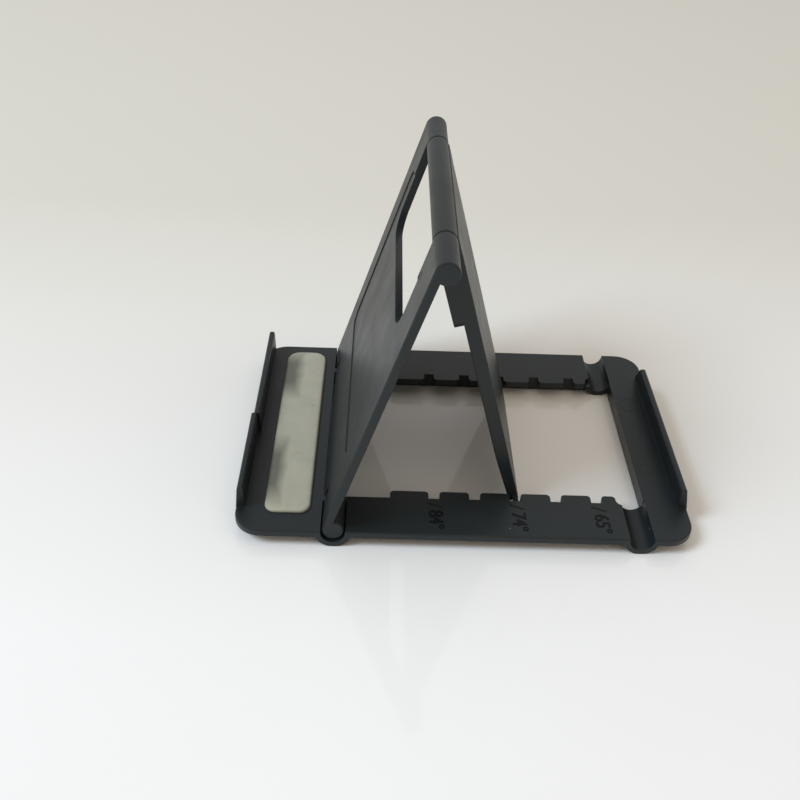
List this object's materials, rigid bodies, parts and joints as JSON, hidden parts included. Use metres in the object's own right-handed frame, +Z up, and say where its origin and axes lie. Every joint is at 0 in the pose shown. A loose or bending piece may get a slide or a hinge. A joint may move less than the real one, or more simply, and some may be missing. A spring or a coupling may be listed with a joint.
{
  "type": "phone stand",
  "caption": "Folding phone stand: flat base with two lips and a grip pad, a back panel hinged at one end and a prop leg that stands in one of the base's notches.",
  "frame": {"origin": "on the table under the middle of the base", "axes": "+X along the base from the grip end to the far end, +Y across it from front to rear, +Z up"},
  "size_m": [0.1, 0.07, 0.0697],
  "materials": {
    "body_plastic": "satin black, finely textured",
    "grip": "smooth grey silicone",
    "pin_steel": "plain drawn steel"
  },
  "bodies": {
    "base": {"base_frame": "body_plastic", "grip_pad": "grip"},
    "panel": {"back_panel": "body_plastic", "base_hinge_pin_front": "pin_steel", "base_hinge_pin_rear": "pin_steel", "apex_pin_front": "pin_steel", "apex_pin_rear": "pin_steel"},
    "leg": {"prop_leg": "body_plastic"}
  },
  "joints": [
    {"name": "panel_hinge", "type": "hinge", "parent": "base", "child": "panel", "pos_m": [-0.0285, 0, 0.00385], "axis": [0, -1, 0], "range_deg": [-72.1, 0]},
    {"name": "leg_hinge", "type": "hinge", "parent": "panel", "child": "leg", "pos_m": [-0.008, 0, 0.06732], "axis": [0, -1, 0], "range_deg": [-33.53, 0]}
  ],
  "couplings": [
    {"joint": "leg_hinge", "follows": "panel_hinge", "ratio": 0.46498}
  ]
}
